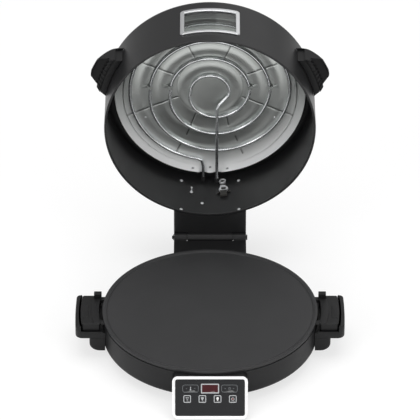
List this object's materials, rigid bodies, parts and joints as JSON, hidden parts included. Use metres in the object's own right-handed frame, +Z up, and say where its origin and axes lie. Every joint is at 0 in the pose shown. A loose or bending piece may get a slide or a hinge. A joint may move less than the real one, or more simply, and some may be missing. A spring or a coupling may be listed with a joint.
{
  "type": "pizza oven",
  "caption": "Round countertop pizza oven with a baking pan, a deep hinged lid with a window and heating coil, side handles and a sloping control panel.",
  "frame": {"origin": "middle of the baking surface", "axes": "+Z up, square to the baking surface; -Y towards the control panel; +Y towards the hinge and the open lid; +X to the user's right"},
  "size_m": [0.4, 0.5103, 0.4177],
  "materials": {
    "black_paint": "satin black paint",
    "dark_paint": "matt black paint",
    "nonstick": "matt black nonstick coating",
    "black_plastic": "fine-grained",
    "neck_plastic": "satin",
    "gloss_black": "smooth printed film",
    "key_film": "smooth printed film",
    "silver_trim": "satin silver",
    "reflector_metal": "bright pressed sheet",
    "element_metal": "drawn tube",
    "zinc_steel": "zinc plated",
    "ceramic": "unglazed ceramic",
    "rubber": "moulded",
    "board_green": "circuit board",
    "window_glass": "clear",
    "display_red": "dark red filter"
  },
  "bodies": {
    "base": {"base_shell": "black_paint", "bottom_cover": "dark_paint", "baking_pan": "nonstick", "pan_handle_left": "black_plastic", "pan_handle_right": "black_plastic", "base_handle_left": "black_plastic", "base_handle_right": "black_plastic", "control_box": "black_plastic", "cord_gland": "black_plastic", "hinge_bracket": "neck_plastic", "panel_fascia": "gloss_black", "panel_bezel": "silver_trim", "lower_reflector": "reflector_metal", "lower_heating_element": "element_metal", "hinge_pin": "zinc_steel", "hinge_pin_clip": "zinc_steel", "pan_sensor": "zinc_steel", "lower_terminal_block": "ceramic", "foot_front_left": "rubber", "foot_front_right": "rubber", "foot_rear_left": "rubber", "foot_rear_right": "rubber", "control_board": "board_green", "display_window": "display_red"},
    "lid": {"lid_shell": "black_paint", "lid_arm": "neck_plastic", "upper_reflector": "reflector_metal", "upper_heating_element": "element_metal", "window_frame": "silver_trim", "window_glass": "window_glass", "lid_handle_left": "black_plastic", "lid_handle_right": "black_plastic", "lid_handle_mount_left": "black_plastic", "lid_handle_mount_right": "black_plastic", "lid_thermostat": "zinc_steel", "element_bush_left": "rubber", "element_bush_right": "rubber", "element_clip_left_inner": "zinc_steel", "element_clip_left_outer": "zinc_steel", "element_clip_right_inner": "zinc_steel", "element_clip_right_outer": "zinc_steel", "reflector_screw_front_left": "zinc_steel", "reflector_screw_front_right": "zinc_steel", "reflector_screw_rear_left": "zinc_steel", "reflector_screw_rear_right": "zinc_steel", "wall_screw_1": "zinc_steel", "wall_screw_2": "zinc_steel", "wall_screw_3": "zinc_steel", "wall_screw_4": "zinc_steel", "wall_screw_5": "zinc_steel", "wall_screw_6": "zinc_steel"},
    "key_1": {"key_1": "key_film"},
    "key_2": {"key_2": "key_film"},
    "key_3": {"key_3": "key_film"},
    "key_4": {"key_4": "key_film"},
    "rocker_left": {"rocker_left": "key_film"},
    "rocker_right": {"rocker_right": "key_film"}
  },
  "joints": [
    {"name": "lid_hinge", "type": "hinge", "parent": "base", "child": "lid", "pos_m": [0, 0.1962, -0.0012], "axis": [1, 0, 0], "range_deg": [0, 88]},
    {"name": "key_1_press", "type": "slide", "parent": "base", "child": "key_1", "axis": [0, 0.8339, -0.5519], "range_m": [0, 0.0008], "stiffness_N_per_m": 600},
    {"name": "key_2_press", "type": "slide", "parent": "base", "child": "key_2", "axis": [0, 0.8339, -0.5519], "range_m": [0, 0.0008], "stiffness_N_per_m": 600},
    {"name": "key_3_press", "type": "slide", "parent": "base", "child": "key_3", "axis": [0, 0.8339, -0.5519], "range_m": [0, 0.0008], "stiffness_N_per_m": 600},
    {"name": "key_4_press", "type": "slide", "parent": "base", "child": "key_4", "axis": [0, 0.8339, -0.5519], "range_m": [0, 0.0008], "stiffness_N_per_m": 600},
    {"name": "rocker_left_tilt", "type": "hinge", "parent": "base", "child": "rocker_left", "pos_m": [-0.0283, -0.17225, -0.01959], "axis": [0, 0.5519, 0.8339], "range_deg": [-3, 3], "stiffness_Nm_per_rad": 0.08},
    {"name": "rocker_right_tilt", "type": "hinge", "parent": "base", "child": "rocker_right", "pos_m": [0.0283, -0.17225, -0.01959], "axis": [0, 0.5519, 0.8339], "range_deg": [-3, 3], "stiffness_Nm_per_rad": 0.08}
  ]
}
